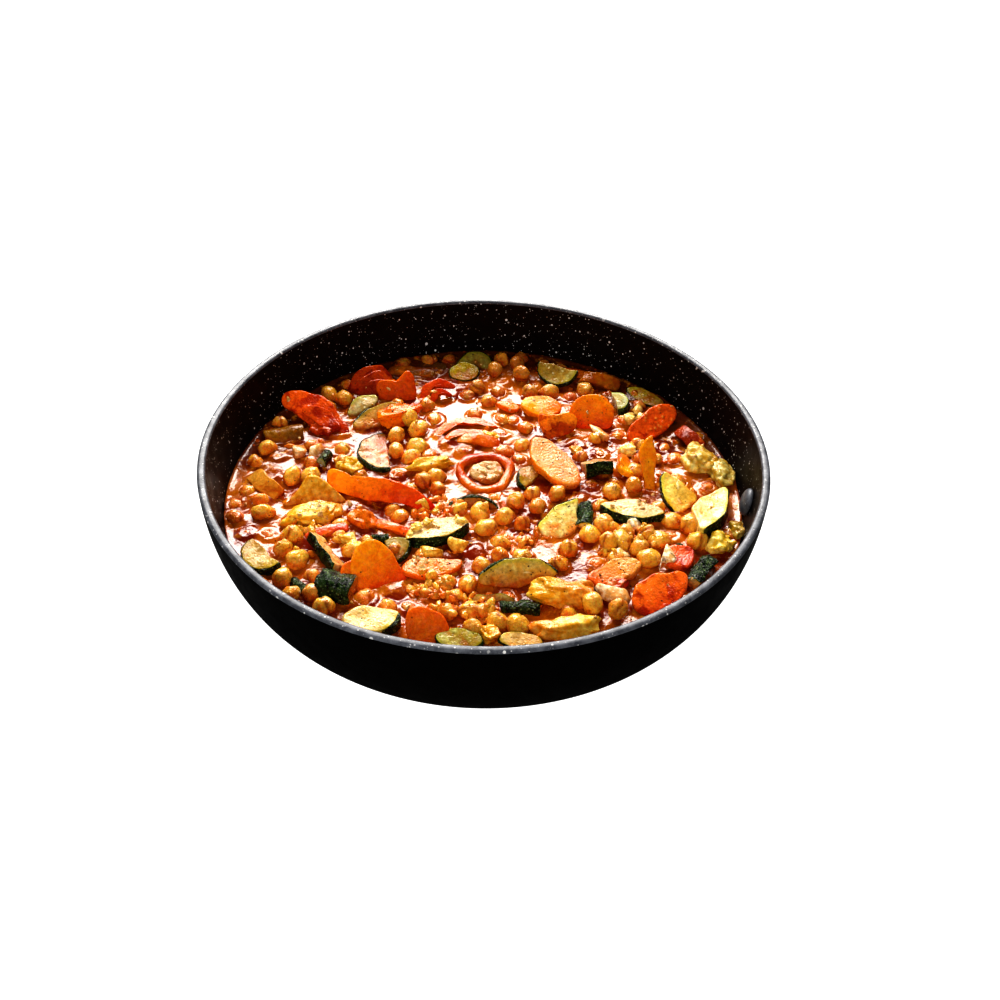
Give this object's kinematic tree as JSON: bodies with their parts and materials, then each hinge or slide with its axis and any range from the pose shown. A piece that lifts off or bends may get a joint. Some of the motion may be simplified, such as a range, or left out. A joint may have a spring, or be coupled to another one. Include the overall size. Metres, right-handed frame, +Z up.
{
  "type": "chickpea and vegetable stew in a pan",
  "caption": "Round deep black speckled pan, filled just over half way with a chickpea and vegetable stew in tomato broth.",
  "frame": {"origin": "centre of the pan's underside, at the level it stands on", "axes": "+Z up, the pan's axis; the single rivet is on the +X side"},
  "size_m": [0.28, 0.28, 0.071],
  "materials": {
    "coating": "satin black non-stick coating with scattered pale grey speckles, inside and out",
    "rivet": "grey coated domed head, a little worn",
    "stew": "glossy orange-red tomato broth with golden chickpeas standing out of it",
    "courgette": "wet, pale cream-yellow flesh with a dark green mottled skin",
    "carrot": "wet, bright orange with a slightly darker rim",
    "pepper": "wet, smooth orange-red skin",
    "tomato": "wet, translucent red flesh",
    "squash": "wet, soft yellow flesh with crumbled edges"
  },
  "bodies": {
    "root": {"pan": "coating", "rivet": "rivet", "stew": "stew", "tomato_1": "tomato", "tomato_2": "tomato", "pepper_1": "pepper", "courgette_1": "courgette", "courgette_2": "courgette", "tomato_3": "tomato", "courgette_3": "courgette", "pepper_2": "pepper", "squash_1": "squash", "courgette_4": "courgette", "pepper_3": "pepper", "courgette_5": "courgette", "pepper_4": "pepper", "courgette_6": "courgette", "carrot_1": "carrot", "carrot_2": "carrot", "tomato_4": "tomato", "pepper_5": "pepper", "courgette_7": "courgette", "tomato_5": "tomato", "tomato_6": "tomato", "pepper_6": "pepper", "courgette_8": "courgette", "pepper_7": "pepper", "pepper_8": "pepper", "squash_2": "squash", "carrot_3": "carrot", "courgette_9": "courgette", "courgette_10": "courgette", "pepper_9": "pepper", "carrot_4": "carrot", "squash_3": "squash", "courgette_11": "courgette", "courgette_12": "courgette", "courgette_13": "courgette", "courgette_14": "courgette", "courgette_15": "courgette", "squash_4": "squash", "squash_5": "squash", "tomato_7": "tomato", "courgette_16": "courgette", "courgette_17": "courgette", "courgette_18": "courgette", "courgette_19": "courgette", "carrot_5": "carrot", "courgette_20": "courgette", "courgette_21": "courgette", "carrot_6": "carrot", "carrot_7": "carrot", "courgette_22": "courgette", "courgette_23": "courgette", "squash_6": "squash", "squash_7": "squash", "carrot_8": "carrot", "tomato_8": "tomato", "tomato_9": "tomato", "courgette_24": "courgette"}
  },
  "joints": []
}
